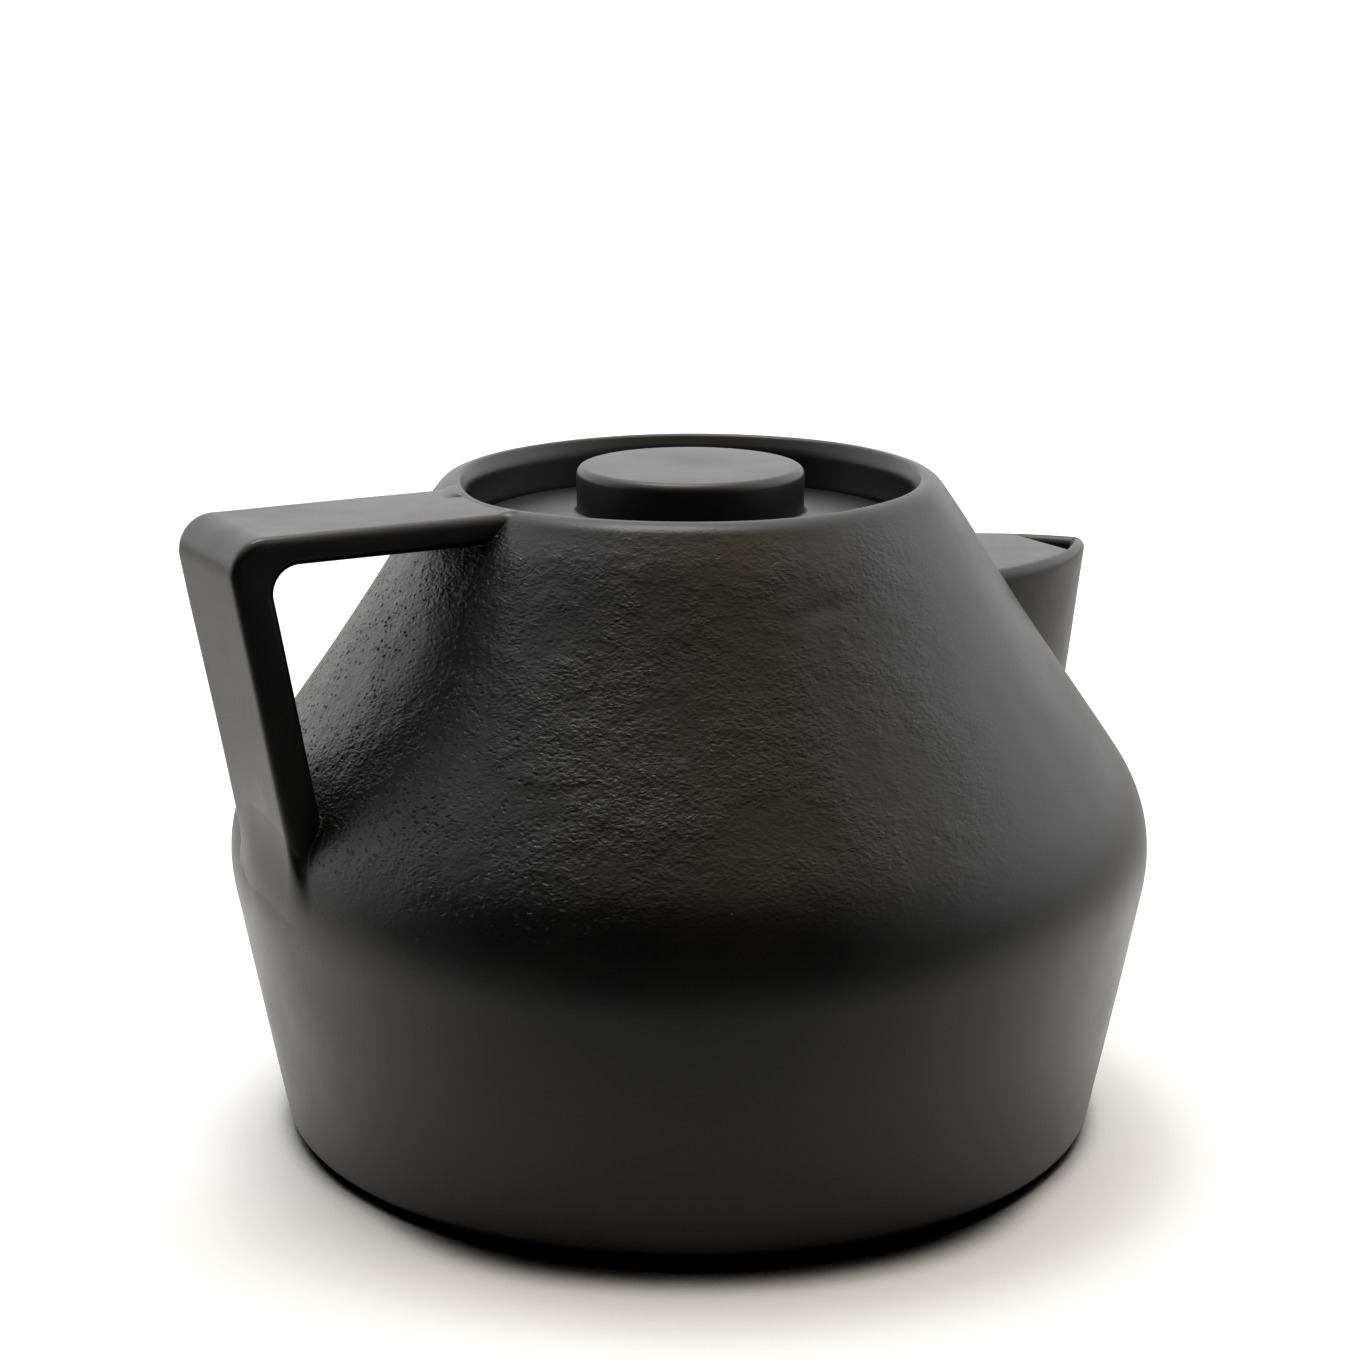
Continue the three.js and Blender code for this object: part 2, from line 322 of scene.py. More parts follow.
def makeWall(form):
    shoulderIn = pushedIn(base, shoulder, rim, form["wall"])
    rimIn = pushedIn(shoulder, rim, overRim, form["wall"])
    baseIn = pushedIn(underside, base, shoulder, form["wall"])
    ledgeTop = plateBottom - form["seatGap"]
    ledgeBottom = ledgeTop - form["ledgeThickness"]
    ledgeRadius = form["throatRadius"] - form["ledgeWidth"]
    bevelWidth, bevelDepth = form["throatBevel"]
    soft = form["ledgeRound"]
    coneEnd = alongTo(shoulderIn, rimIn, ledgeBottom - form["ledgeSlope"])
    floorEnd = alongTo(shoulderIn, baseIn, footTop + form["floor"])
    bm = bmesh.new()
    drawOutline(
        bm,
        [
            (0, footTop, 0, 0),
            (*base, form["baseRound"], 8),
            (*shoulder, form["shoulderRound"], 36),
            (*rim, form["rimRound"], 52),
            (form["throatRadius"] + bevelWidth, rimTop, form["throatRound"], 1),
            (form["throatRadius"], rimTop - bevelDepth, form["throatEase"], 2),
            (form["throatRadius"], ledgeTop, soft, 6),
            (ledgeRadius, ledgeTop, soft, 2),
            (ledgeRadius, ledgeBottom, soft, 2),
            (*coneEnd, 2 * soft, 6),
            (*shoulderIn, form["shoulderRound"] - form["wall"], 12),
            (*floorEnd, form["floorRound"], 12),
            (0, footTop + form["floor"], 0, 6),
        ],
    )
    hollowCone(bm, form)
    turnOnWheel(bm, form["turnSteps"])
    return bm


# The rim sags a little on the side of the handle
rimSag = {
    "toward": 215.0,  # degrees round the pot
    "drop": 1.15,  # mm
    "atStrap": 0.6,
    "spread": 14.0,  # mm to each side of the strap
    "reach": 9.0,  # mm under the rim
}


def sagRim(bm, form):
    heading = radians(form["toward"])
    toward = Vector((cos(heading), sin(heading)))
    for v in bm.verts:
        share = min(max(1 - (rimTop - v.co.z) / form["reach"], 0), 1)
        if share:
            drop = form["drop"] * (1 + v.co.xy.normalized().dot(toward)) / 2
            if v.co.x < 0:
                drop += form["atStrap"] * exp(-((v.co.y / form["spread"]) ** 2))
            v.co.z -= drop * share**2 * (3 - 2 * share)


# A long shallow dent, pressed into the cone before firing
dent = {
    "place": (-3.0, -50.3, 100.7),  # mm
    "toward": (15.2, 0.8, 2.3),
    "length": 6.0,
    "width": 1.2,
    "depth": 0.4,
}


def pressDent(bm, form):
    middle, along = Vector(form["place"]), Vector(form["toward"]).normalized()
    slope = (shoulder.x - rim.x) / (rim.y - shoulder.y)
    inward = -Vector((middle.x, middle.y, middle.xy.length * slope)).normalized()
    for v in bm.verts:
        away = v.co - middle
        way = away.dot(along)
        across = (away - along * way).length
        v.co += inward * form["depth"] * exp(-((way / form["length"]) ** 2) - (across / form["width"]) ** 2)


# A spot on the shoulder's round, so far above the widest line
def onShoulder(rise):
    bend = potForm["shoulderRound"]
    return Vector((widestRadius - bend + sqrt(bend**2 - rise**2), widestHeight + rise))


# The pot's whole form, pushed in under the skin: what is luted on is cut to it
def makeCore(form):
    depth = form["skin"]
    baseIn = pushedIn(underside, base, shoulder, depth)
    shoulderIn = pushedIn(base, shoulder, rim, depth)
    rimIn = alongTo(shoulderIn, pushedIn(shoulder, rim, overRim, depth), rimTop - depth)
    bm = bmesh.new()
    drawOutline(
        bm,
        [
            (0, footTop + depth, 0, 0),
            (*baseIn, form["baseRound"], 1),
            (*shoulderIn, form["shoulderRound"] - depth, 1),
            (*rimIn, 0, 1),
            (rimIn.x, rimTop + depth, 0, 1),
            (0, rimTop + depth, 0, 1),
        ],
    )
    turnOnWheel(bm, form["turnSteps"])
    return bm


# Joints: wet clay smeared along the line where a piece meets the wall
smear = {
    "steps": 9,
    "sink": 0.02,  # mm, its edges lie this far under the surfaces
    "depth": 1.2,  # mm, its hidden heel
    "evenOut": 3.2,  # mm, over which the wall's facets count as one curved surface
}


def wallFacing(tree, spot):
    reach = smear["evenOut"]
    near = tree.find_nearest_range(spot, reach)
    return sum(((reach - distance) * out for _, out, _, distance in near), Vector()).normalized()


def whereItMeets(thread, tree):
    for start, end in zip(thread, thread[1:]):
        hit = tree.ray_cast(start, end - start, (end - start).length)
        if hit[0]:
            return hit[0], (end - start).normalized()
    return None


def smearJoint(bm, seats, wallTree, reaches):
    # Each seat: where a thread of the piece meets the wall, and the way it was going
    sections = []
    middle = sum((spot for spot, _ in seats), Vector()) / len(seats)
    for i, ((spot, going), reach) in enumerate(zip(seats, reaches)):
        seam = seats[(i + 1) % len(seats)][0] - seats[i - 1][0]
        wallOut = wallFacing(wallTree, spot)
        pieceOut = seam.cross(going).normalized()
        if pieceOut.dot(spot - middle) < 0:
            pieceOut.negate()
        lean = pieceOut.dot(wallOut)
        toPiece = -going
        toWall = (pieceOut - wallOut * lean).normalized()
        top = spot + toPiece * reach
        foot = wallTree.find_nearest(spot + toWall * reach)[0]
        footOut = wallFacing(wallTree, foot)
        fromFoot = -(toWall - footOut * toWall.dot(footOut)).normalized()
        turn = max(toPiece.angle(-toWall), 0.05)
        pull = reach * 4 / 3 * tan(turn / 4) / tan(turn / 2)
        curve = interpolate_bezier(top, top - toPiece * pull, foot + fromFoot * pull, foot, smear["steps"])
        curve[0] -= pieceOut * smear["sink"]
        curve[-1] -= footOut * smear["sink"]
        heel = spot - (pieceOut + wallOut).normalized() * smear["depth"]
        sections.append([*curve, heel])
    ring = [bm.verts.new(spot) for spot in sections[0]]
    edges = [bm.edges.new(pair) for pair in zip(ring, ring[1:] + ring[:1])]
    for section in [*sections[1:], sections[0]]:
        made = bmesh.ops.extrude_edge_only(bm, edges=edges)["geom"]
        fresh = {part for part in made if isinstance(part, bmesh.types.BMVert)}
        drawn = [part for part in made if isinstance(part, bmesh.types.BMEdge)]
        edges = [edge for edge in drawn if fresh.issuperset(edge.verts)]
        ring = [next(e.other_vert(v) for e in v.link_edges if e.other_vert(v) in fresh) for v in ring]
        for v, spot in zip(ring, section):
            v.co = spot
    bmesh.ops.remove_doubles(bm, verts=bm.verts, dist=0.001)
    bmesh.ops.recalc_face_normals(bm, faces=bm.faces)


# Crumbs of clay left in the corners of the joints on the handle's near side
crumbs = {
    "underArm": 5,
    "inGrip": 9,
    "least": 0.18,  # mm
    "most": 0.55,
    "flat": 0.6,  # height as a share of width
    "scatter": 0.4,  # mm along the joint, and down from it
    "rise": 0.1,  # mm up from it
    "proud": 0.3,  # mm out of it
    "lump": 0.3,  # share of its size
    "lumpScale": 2.5,  # lumps to each mm
}


def pressCrumbs(bm, spots, count):
    near = [spot for spot in spots if spot.y < 0]
    picks = Random(count)
    for _ in range(count):
        size = picks.uniform(crumbs["least"], crumbs["most"])
        spot = picks.choice(near)
        along = picks.uniform(-crumbs["scatter"], crumbs["scatter"])
        place = spot + Vector((along, -crumbs["proud"], picks.uniform(-crumbs["scatter"], crumbs["rise"])))
        turn = Matrix.Rotation(picks.uniform(0, pi), 4, "Z") @ Matrix.Diagonal((1, 1, crumbs["flat"], 1))
        matrix = Matrix.Translation(place) @ turn
        made = bmesh.ops.create_icosphere(bm, subdivisions=2, radius=size, matrix=matrix)
        for v in made["verts"]:
            v.co += noise.noise_vector(v.co * crumbs["lumpScale"]) * size * crumbs["lump"]


# Strap handle: a level arm and a raked upright
strapForm = {
    "drop": 1.7,  # the arm's top under the rim
    "landing": 7.8,  # its back meets the shoulder this far above the widest line
    "width": 26.0,
    "arm": 4.8,
    "upright": 6.3,
    "rake": 10.0,  # degrees
    "outerRound": 5.8,
    "innerRound": 4.4,
    "edgeRound": 1.4,
    "edgeSteps": 6,
    "slice": 2.2,  # mm between cuts across, so that it settles with the wall
    "armReach": (-62.0, -30.0),  # mm along X, from outside the wall to inside it
    "armSmear": (0.4, 3.6),  # at its sides and underneath, and on its top
    "uprightReach": (15.0, 70.0),  # mm down from the outer corner, from outside the wall to inside it
    "uprightSmear": (0.6, 8.5),  # inside the grip and at its sides, and on the back of the strap
    "edgeTaper": 0.8,  # so much less of it at the arm's two edges and the upright's far edge
    "gripShare": 0.4,  # share of the strap's thickness that counts as inside the grip
}
armTop = rimTop - strapForm["drop"]
strapLanding = onShoulder(strapForm["landing"])


def strapBack(height):
    return -strapLanding.x - tan(radians(strapForm["rake"])) * (height - strapLanding.y)


def makeStrap(form, core):
    armBottom = armTop - form["arm"]
    inwards = form["upright"] / cos(radians(form["rake"]))
    low = footTop + potForm["shoulderRise"] / 2
    start = -potForm["rimRadius"] / 2
    bm = bmesh.new()
    outside = [
        (start, armTop, 0, 0),
        (strapBack(armTop), armTop, form["outerRound"], 26),
        (strapBack(low), low, 0, 36),
    ]
    inside = [
        (start, armBottom, 0, 0),
        (strapBack(armBottom) + inwards, armBottom, form["innerRound"], 26),
        (strapBack(low) + inwards, low, 0, 36),
    ]
    drawOutline(bm, outside)
    drawOutline(bm, inside)
    bmesh.ops.bridge_loops(bm, edges=bm.edges)
    bmesh.ops.translate(bm, vec=yAxis * -form["width"] / 2, verts=bm.verts)
    pullOut(bm, yAxis * form["width"])
    edges = []
    for edge in bm.edges:
        across = [abs(face.normal.y) for face in edge.link_faces]
        if max(across) > 0.9 and min(across) < 0.1:
            edges.append(edge)
    roundEdges(bm, edges, form)
    sliceAcross(bm, yAxis, form["slice"])
    cutAway(bm, core)
    return bm


def strapSection(form, thickness):
    half, rise, soft = form["width"] / 2, thickness / 2, form["edgeRound"]
    return [
        (0, -rise, 0, 0),
        (half, -rise, soft, 8),
        (half, rise, soft, 3),
        (-half, rise, soft, 16),
        (-half, -rise, soft, 3),
        (0, -rise, 0, 8),
    ]


def edgeTaper(form, across):
    return 1 - form["edgeTaper"] * (2 * across / form["width"]) ** 4


def smearStrap(form, wallTree):
    bm = bmesh.new()
    armMiddle = armTop - form["arm"] / 2
    spots = outlineSpots(strapSection(form, form["arm"]), yAxis, zAxis)[:-1]
    threads = [[spot + Vector((x, 0, armMiddle)) for x in form["armReach"]] for spot in spots]
    seats = [whereItMeets(thread, wallTree) for thread in threads]
    least, most = form["armSmear"]
    shares = [max(2 * spot.z / form["arm"], 0) for spot in spots]
    tapers = [edgeTaper(form, spot.y) for spot in spots]
    reaches = [least + (most - least) * taper * share**3 for share, taper in zip(shares, tapers)]
    smearJoint(bm, seats, wallTree, reaches)
    underArm = [spot for (spot, _), share in zip(seats, shares) if not share]
    pressCrumbs(bm, underArm, crumbs["underArm"])
    rake = radians(form["rake"])
    down = Vector((sin(rake), 0, -cos(rake)))
    outward = Vector((-cos(rake), 0, -sin(rake)))
    corner = Vector((strapBack(armTop), 0, armTop))
    middle = corner - outward * form["upright"] / 2
    spots = outlineSpots(strapSection(form, form["upright"]), yAxis, outward)[:-1]
    threads = [[middle + spot + down * reach for reach in form["uprightReach"]] for spot in spots]
    seats = [whereItMeets(thread, wallTree) for thread in threads]
    least, most = form["uprightSmear"]
    shares = [max(0.5 + spot.dot(outward) / form["upright"], 0) for spot in spots]
    tapers = [edgeTaper(form, max(spot.y, 0)) for spot in spots]
    reaches = [least + (most - least) * taper * share**6 for share, taper in zip(shares, tapers)]
    smearJoint(bm, seats, wallTree, reaches)
    inGrip = [spot for (spot, _), share in zip(seats, shares) if share < form["gripShare"]]
    pressCrumbs(bm, inGrip, crumbs["inGrip"])
    return bm


# Beak: two curved sides that meet in a raked keel, a flat cover and a three-cornered mouth
beakForm = {
    "width": 37.4,
    "taper": 36.4,
    "landing": 6.0,  # the keel meets the shoulder this far above the widest line
    "rake": 8.0,  # degrees
    "nose": 3.0,
    "wall": 2.6,
    "edgeRound": 1.9,
    "edgeSteps": 6,
    "root": 20.0,  # mm along X, its inner end, which is cut off
    "leastNose": 0.4,
    "slice": 2.5,  # mm between cuts, so that it settles with the wall
    "channel": 80.0,  # mm, so far down the hollow is cut
    "lipRound": 1.75,  # inside the mouth
    "lipSteps": 6,
    "mouthPast": (4.0, 1.0),  # mm, the mouth's cutter past the cover's top and underside
    "smear": (0.9, 4.0),  # at the top, and where the keel runs out
}
beakSide = (beakForm["taper"] ** 2 + (beakForm["width"] / 2) ** 2) / beakForm["width"]
beakOffset = beakSide - beakForm["width"] / 2
beakDown = Vector((-tan(radians(beakForm["rake"])), 0, -1))
keelEnd = onShoulder(beakForm["landing"])
beakStart = keelEnd.x - beakDown.x * (spoutTop - keelEnd.y) - beakForm["taper"]


def drawBeak(bm, depth=0.0):
    side = beakSide - depth
    root = beakForm["root"]
    nose = max(beakForm["nose"] - depth, beakForm["leastNose"])
    noseX = beakStart + sqrt((side - nose) ** 2 - beakOffset**2)
    leave = asin(beakOffset / (side - nose))
    first = bm.verts.new((root, beakOffset - side, spoutTop))
    last = lineTo(bm, first, Vector((beakStart, beakOffset - side, spoutTop)), 8)
    last = arcTo(bm, last, (beakStart, beakOffset, spoutTop), zAxis, pi / 2 - leave)
    last = arcTo(bm, last, (noseX, 0, spoutTop), zAxis, 2 * leave)
    last = arcTo(bm, last, (beakStart, -beakOffset, spoutTop), zAxis, pi / 2 - leave)
    return first, lineTo(bm, last, Vector((root, side - beakOffset, spoutTop)), 8)


def beakPrism(depth, above, below):
    bm = bmesh.new()
    first, last = drawBeak(bm, depth)
    bm.edges.new((last, first))
    bmesh.ops.contextual_create(bm, geom=bm.edges)
    bmesh.ops.translate(bm, vec=beakDown * -above, verts=bm.verts)
    pullOut(bm, beakDown * (above + below))
    return bm


def makeBeak(form, core):
    bm = beakPrism(0, 0, spoutTop - footTop - potForm["shoulderRise"] / 2)
    edges = []
    for edge in bm.edges:
        upward = [face.normal.z for face in edge.link_faces]
        forward = [abs(face.normal.x) < 0.999 for face in edge.link_faces]
        if max(upward) > 0.9 and min(upward) < 0.5 and all(forward):
            edges.append(edge)
    roundEdges(bm, edges, form)
    for axis in (zAxis, xAxis, yAxis):
        sliceAcross(bm, axis, form["slice"])
    cutAway(bm, core)
    cutAway(bm, beakPrism(form["wall"], coverBottom - spoutTop, form["channel"]))
    cutAway(bm, mouthCutter(form))
    return bm


# The mouth's cutter flares out at the top, so that the lip comes out round
def mouthCutter(form):
    lip = form["lipRound"]
    above, below = form["mouthPast"]
    sections = [(form["wall"], spoutTop - coverBottom + below)]
    for i in range(form["lipSteps"] + 1):
        angle = pi / 2 * i / form["lipSteps"]
        sections.append((form["wall"] - lip * (1 - cos(angle)), lip * (1 - sin(angle))))
    sections.append((form["wall"] - lip, -above))
    bm = bmesh.new()
    for depth, drop in sections:
        known = set(bm.verts)
        first, last = drawBeak(bm, depth)
        bm.edges.new((last, first))
        bmesh.ops.translate(bm, vec=beakDown * drop, verts=[v for v in bm.verts if v not in known])
    bmesh.ops.bridge_loops(bm, edges=bm.edges)
    bmesh.ops.holes_fill(bm, edges=[edge for edge in bm.edges if len(edge.link_faces) == 1], sides=0)
    geom = bm.verts[:] + bm.edges[:] + bm.faces[:]
    bmesh.ops.bisect_plane(bm, geom=geom, plane_co=(mouthEdge, 0, 0), plane_no=xAxis, clear_inner=True)
    bmesh.ops.holes_fill(bm, edges=[edge for edge in bm.edges if len(edge.link_faces) == 1], sides=0)
    bmesh.ops.recalc_face_normals(bm, faces=bm.faces)
    return bm


# Threads along the beak's skin, which find the line where it meets the wall
beakThreads = {
    "topReach": (62.0, 40.0),  # mm along X, from outside the wall to inside it
    "top": 8,
    "edge": 12,
    "side": 12,
    "sideStep": 1.2,  # mm
    "keelReach": (4.0, 60.0),  # mm down the keel's way, from outside the wall to inside it
    "turnStart": 2.0,  # mm under the top, where they begin to turn from level to the keel's own way
    "turnLength": 12.0,
}


def smearBeak(form, wallTree):
    bm = bmesh.new()
    soft = form["edgeRound"]
    topStep = (form["width"] / 2 - soft) / beakThreads["top"]
    sideStep = beakThreads["sideStep"]
    # Threads along the flat top, round its edge, level along the side, and down to the keel
    threads = []
    for i in range(beakThreads["top"] + 1):
        threads.append([Vector((x, i * topStep, spoutTop)) for x in beakThreads["topReach"]])
    for i in range(1, beakThreads["edge"]):
        angle = pi / 2 * (1 - i / beakThreads["edge"])
        threads.append(levelThread(soft * (1 - cos(angle)), soft * (1 - sin(angle))))
    threads += [levelThread(0, soft + i * sideStep) for i in range(beakThreads["side"])]
    lastSide = spoutTop - soft - (beakThreads["side"] - 1) * sideStep
    seats = [whereItMeets(thread, wallTree) for thread in threads]
    outline = bmesh.new()
    drawBeak(outline)
    spots = [v.co.copy() for v in outline.verts if v.co.y > -0.01 and v.co.x > beakStart + 1]
    outline.free()
    spots.sort(key=lambda spot: -spot.y)
    for spot in spots:
        seat = whereItMeets([spot + beakDown * reach for reach in beakThreads["keelReach"]], wallTree)
        if seat and seat[0].z < lastSide - sideStep / 2:
            seats.append(seat)
    # Down the side the threads turn from level to the keel's own way
    for i in range(len(threads[0]), len(seats)):
        spot, going = seats[i]
        under = spoutTop - spot.z - beakThreads["turnStart"]
        share = min(max(under / beakThreads["turnLength"], 0), 1)
        seats[i] = (spot, going.lerp(beakDown.normalized(), share).normalized())
    flip = Vector((1, -1, 1))
    seats += [(spot * flip, going * flip) for spot, going in seats[-2:0:-1]]
    lowest = min(spot.z for spot, _ in seats)
    least, most = form["smear"]
    reaches = [least + (most - least) * ((spoutTop - spot.z) / (spoutTop - lowest)) ** 3 for spot, _ in seats]
    smearJoint(bm, seats, wallTree, reaches)
    return bm


def levelThread(depth, drop):
    outline = bmesh.new()
    drawBeak(outline, depth)
    spots = [v.co + beakDown * drop for v in outline.verts if v.co.y > 0]
    outline.free()
    return spots


# Strainer holes: staggered rows, drilled level through the wall behind the beak
strainer = {
    "hole": 4.0,
    "pitch": 5.6,
    "margin": 0.8,
    "sides": 24,
    "drillMiddle": 0.7,  # share of the pot's radius
}


def strainerDrill(form):
    bm = bmesh.new()
    rowStep = form["pitch"] * sqrt(3) / 2
    clear = form["hole"] / 2 + form["margin"]
    drillMiddle = potForm["shoulderRadius"] * form["drillMiddle"]
    level = Matrix.Rotation(pi / 2, 4, "Y")
    along = (rim - shoulder).normalized()
    row = 0
    height = coverBottom - clear
    while height > widestHeight + clear:
        lowest = height - clear
        wallX = alongTo(shoulder, shoulder + along, lowest).x
        behind = wallX - beakDown.x * (spoutTop - lowest) - beakStart
        square = (beakSide - beakForm["wall"]) ** 2 - max(behind, 0) ** 2
        room = sqrt(square) - beakOffset - clear if square > 0 else -1
        shift = form["pitch"] / 2 * (row % 2)
        beside = int((room - shift) // form["pitch"])
        y = -shift - beside * form["pitch"]
        while y <= room:
            bmesh.ops.create_cone(
                bm,
                cap_ends=True,
                segments=form["sides"],
                radius1=form["hole"] / 2,
                radius2=form["hole"] / 2,
                depth=potForm["shoulderRadius"],
                matrix=Matrix.Translation((drillMiddle, y, height)) @ level,
            )
            y += form["pitch"]
        row += 1
        height -= rowStep
    bmesh.ops.recalc_face_normals(bm, faces=bm.faces)
    return bm


# Lid: a plate with a flange under it, and a flat knob
lidForm = {
    "sink": 8.4,  # the plate's edge under the rim
    "edgeRound": 1.0,
    "flange": 3.5,
    "flangeRound": 1.1,
    "knobRound": 1.5,
    "knobFoot": 0.9,
    "knobDish": 0.5,
    "dishSteps": 14,
    "turnSteps": 240,
}


def makePlate(form):
    plateTop = rimTop - form["sink"]
    inner = flangeRadius - form["flange"]
    soft = form["edgeRound"]
    bm = bmesh.new()
    drawOutline(
        bm,
        [
            (0, plateBottom, 0, 0),
            (inner, plateBottom, soft, 10),
            (inner, flangeBottom, form["flangeRound"], 4),
            (flangeRadius, flangeBottom, form["flangeRound"], 1),
            (flangeRadius, plateBottom, soft / 2, 4),
            (plateRadius, plateBottom, soft, 2),
            (plateRadius, plateTop, soft, 2),
            (knobRadius, knobSeat, 0, 8),
            (0, knobSeat, 0, 8),
        ],
    )
    turnOnWheel(bm, form["turnSteps"])
    return bm


def makeKnob(form):
    plateTop = rimTop - form["sink"]
    slope = (knobSeat - plateTop) / (plateRadius - knobRadius)
    foot = form["knobFoot"]
    dishEdge = knobRadius - 2 * form["knobRound"]
    bm = bmesh.new()
    corners = [
        (0, knobSeat - foot, 0, 0),
        (knobRadius + foot, knobSeat - foot, 0, 4),
        (knobRadius + foot, knobSeat - slope * foot - smear["sink"], 0, 1),
        (knobRadius, knobSeat, foot, 1),
        (knobRadius, knobTop, form["knobRound"], 6),
        (dishEdge, knobTop, 0, 1),
    ]
    for i in range(1, form["dishSteps"] + 1):
        way = i / form["dishSteps"]
        corners.append((dishEdge * (1 - way), knobTop - form["knobDish"] * sin(way * pi / 2) ** 2, 0, 1))
    drawOutline(bm, corners)
    turnOnWheel(bm, form["turnSteps"])
    return bm


# Foot: a low disc whose top is sunk a little into the pot
footForm = {
    "edgeRound": 0.4,
    "sunk": 0.2,
    "turnSteps": 180,
}


def makeFoot(form):
    top = footTop + form["sunk"]
    bm = bmesh.new()
    corners = [
        (0, 0, 0, 0),
        (footRadius, 0, form["edgeRound"], 10),
        (footRadius, top, 0, 2),
        (0, top, 0, 10),
    ]
    drawOutline(bm, corners)
    turnOnWheel(bm, form["turnSteps"])
    return bm


wall = makeWall(potForm)
sagRim(wall, rimSag)
pressDent(wall, dent)
core = makeCore(potForm)
wallTree = BVHTree.FromBMesh(wall)
strapJoints = smearStrap(strapForm, wallTree)
beakJoint = smearBeak(beakForm, wallTree)
strap = makeStrap(strapForm, core)
beak = makeBeak(beakForm, core)
cutAway(wall, strainerDrill(strainer))
core.free()

plate, knob = makePlate(lidForm), makeKnob(lidForm)
pieces = [
    finishPiece("footDisc", makeFoot(footForm), "pot", "bare_clay", ["foot"]),
    finishPiece("potWall", wall, "pot", "leather_black", ["bowl", "cone"]),
    finishPiece("strapHandle", strap, "pot", "satin_black", ["handle"]),
    finishPiece("strapJoints", strapJoints, "pot", "satin_black", []),
    finishPiece("beak", beak, "pot", "satin_black", ["spout", "spout_cover"]),
    finishPiece("beakJoint", beakJoint, "pot", "satin_black", []),
    finishPiece("lidPlate", plate, "lid", "lid_black", ["lid_plate", "lid_flange"], settled=False),
    finishPiece("lidKnob", knob, "lid", "lid_black", ["lid_knob"], settled=False),
]
print("pieces made")


# Node helpers
def addNode(tree, kind, inputs=None, **settings):
    node = tree.nodes.new(kind)
    for name, value in settings.items():
        setattr(node, name, value)
    for name, value in (inputs or {}).items():
        if isinstance(value, bpy.types.NodeSocket):
            tree.links.new(value, node.inputs[name])
        else:
            node.inputs[name].default_value = value
    return node


def newGroup(name, inputs, outputs):
    tree = bpy.data.node_groups.new(name, "ShaderNodeTree")
    for label, value in inputs.items():
        kind = "NodeSocketVector" if label == "Vector" else "NodeSocketFloat"
        socket = tree.interface.new_socket(name=label, in_out="INPUT", socket_type=kind)
        if label != "Vector":
            socket.default_value = value
    for label in outputs:
        tree.interface.new_socket(name=label, in_out="OUTPUT", socket_type="NodeSocketFloat")
    return tree, tree.nodes.new("NodeGroupInput").outputs, tree.nodes.new("NodeGroupOutput").inputs


def useGroup(tree, group, **inputs):
    node = tree.nodes.new("ShaderNodeGroup")
    node.node_tree = group
    for name, value in inputs.items():
        if isinstance(value, bpy.types.NodeSocket):
            tree.links.new(value, node.inputs[name])
        else:
            node.inputs[name].default_value = value
    return node.outputs


def mathNode(tree, operation, first, second=0.0, third=0.0):
    return addNode(tree, "ShaderNodeMath", {0: first, 1: second, 2: third}, operation=operation).outputs[0]


def rampBetween(tree, value, low, high, start=0.0, end=1.0):
    inputs = {"Value": value, "From Min": low, "From Max": high, "To Min": start, "To Max": end}
    return addNode(tree, "ShaderNodeMapRange", inputs, interpolation_type="SMOOTHSTEP").outputs["Result"]


def vectorNode(tree, operation, first, second=(0.0, 0.0, 0.0), third=(0.0, 0.0, 0.0)):
    inputs = {0: first, 1: second, 2: third}
    return addNode(tree, "ShaderNodeVectorMath", inputs, operation=operation).outputs


def dotNode(tree, vector, way):
    return vectorNode(tree, "DOT_PRODUCT", vector, way)["Value"]


def lengthNode(tree, vector):
    return vectorNode(tree, "LENGTH", vector)["Value"]


# Low bumps of a leather-like skin, wider than they are high, and small pits between them
skinForm = {
    "wobbleScale": 420.0,
    "wobble": 0.0016,  # metres that the pattern is bent by
    "swell": 0.75,  # share of the height
    "domes": 0.45,
    "domeScale": 0.8,  # to each pitch
    "folds": 1.6,
    "foldScale": 0.11,
    "pitScale": 0.5,
    "pitEdge": (0.36, 0.14),  # share of a cell, from a pit's rim to its floor
}


